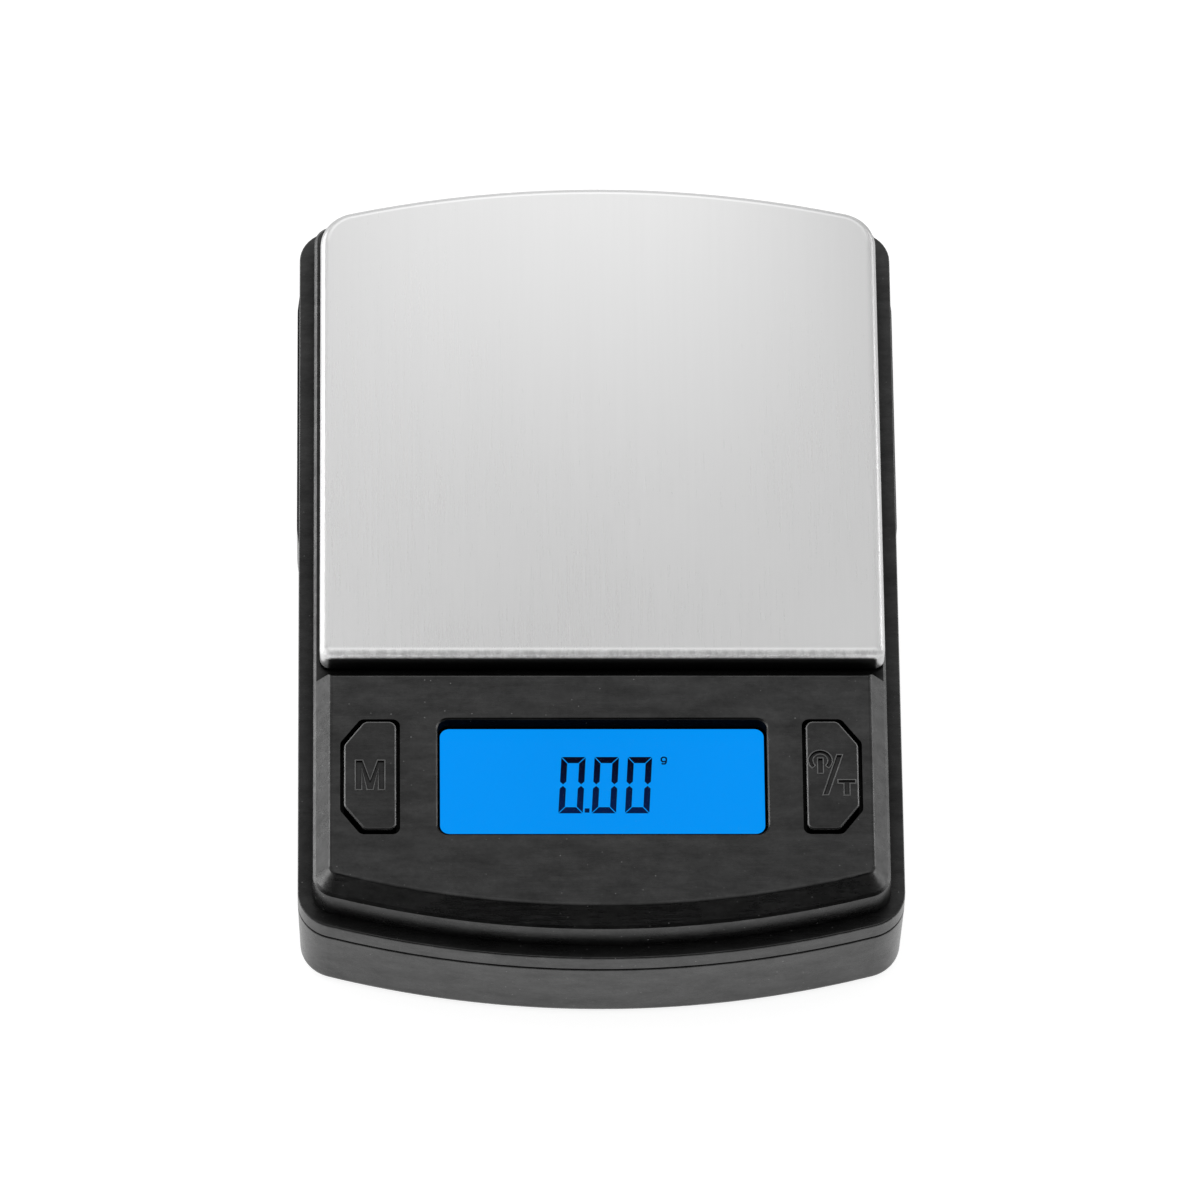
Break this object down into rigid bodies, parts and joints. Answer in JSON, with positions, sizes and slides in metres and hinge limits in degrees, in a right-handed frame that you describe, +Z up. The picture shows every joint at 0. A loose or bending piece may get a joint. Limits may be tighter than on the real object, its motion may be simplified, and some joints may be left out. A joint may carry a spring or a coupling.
{
  "type": "digital gram scale",
  "caption": "Pocket digital scale: low black casing with bowed ends, brushed steel weighing tray at the back, and a bevelled front panel with a blue lit display between two keys.",
  "frame": {"origin": "on the table, under the centre of the casing's plan", "axes": "+Z up, +Y to the back (tray end), +X to the right of a user who faces the display"},
  "size_m": [0.0786, 0.115, 0.0235],
  "materials": {
    "black_shell": "black moulded ABS with a fine matt texture",
    "brushed_tray": "stainless sheet, brushed front to back",
    "clear_window": "clear polished window",
    "lcd": "display glass lit blue from behind",
    "holder": "black moulded holder",
    "light_guide": "milky light guide",
    "lamp": "blue lamp",
    "zebra": "striped contact rubber",
    "board": "green solder mask",
    "screw_steel": "plated steel",
    "chip": "black chip moulding with tinned legs",
    "can": "drawn metal can",
    "capacitor": "ceramic chip capacitors",
    "key": "black key caps with sunk legends",
    "switch": "black switch body",
    "plunger": "pale switch plunger",
    "tape": "double-sided foam tape",
    "carrier": "black moulded carrier",
    "beam": "machined aluminium",
    "gauge": "gauges under white sealant",
    "wire": "insulated wire",
    "cell": "printed cell jacket and bare ends",
    "contact": "nickel-plated spring steel",
    "foot": "black rubber"
  },
  "bodies": {
    "casing": {"lower_casing": "black_shell", "upper_casing": "black_shell", "display_window": "clear_window", "lcd_glass": "lcd", "lcd_holder": "holder", "backlight_panel": "light_guide", "backlight_leds": "lamp", "elastomer_connector": "zebra", "circuit_board": "board", "circuit_board_screws": "screw_steel", "controller_chip": "chip", "converter_chip": "chip", "crystal": "can", "board_capacitors": "capacitor", "mode_switch_body": "switch", "power_switch_body": "switch", "load_cell": "beam", "strain_gauges": "gauge", "load_cell_screws": "screw_steel", "overload_stop_screw": "screw_steel", "load_cell_leads": "wire", "battery_front": "cell", "battery_rear": "cell", "battery_springs": "contact", "battery_terminal_positive": "contact", "battery_terminal_negative": "contact", "battery_link_plate": "contact", "battery_lead_positive": "wire", "battery_lead_negative": "wire", "casing_screws": "screw_steel", "rubber_feet": "foot"},
    "platform": {"weighing_tray": "brushed_tray", "tray_adhesive_pads": "tape", "tray_carrier": "carrier", "carrier_screws": "screw_steel"},
    "mode_key": {"mode_button": "key", "mode_switch_plunger": "plunger"},
    "power_key": {"power_tare_button": "key", "power_switch_plunger": "plunger"},
    "door": {"battery_door": "black_shell"}
  },
  "joints": [
    {"name": "tray_press", "type": "slide", "parent": "casing", "child": "platform", "axis": [0, 0, -1], "range_m": [0, 0.0004], "stiffness_N_per_m": 4000, "springref_m": -0.0001, "deforming": ["load_cell"]},
    {"name": "mode_press", "type": "slide", "parent": "casing", "child": "mode_key", "axis": [0, 0, -1], "range_m": [0, 0.0005], "stiffness_N_per_m": 60, "springref_m": -0.0005},
    {"name": "power_press", "type": "slide", "parent": "casing", "child": "power_key", "axis": [0, 0, -1], "range_m": [0, 0.0005], "stiffness_N_per_m": 60, "springref_m": -0.0005},
    {"name": "door_slide", "type": "slide", "parent": "casing", "child": "door", "axis": [0, 1, 0], "range_m": [0, 0.025]}
  ]
}
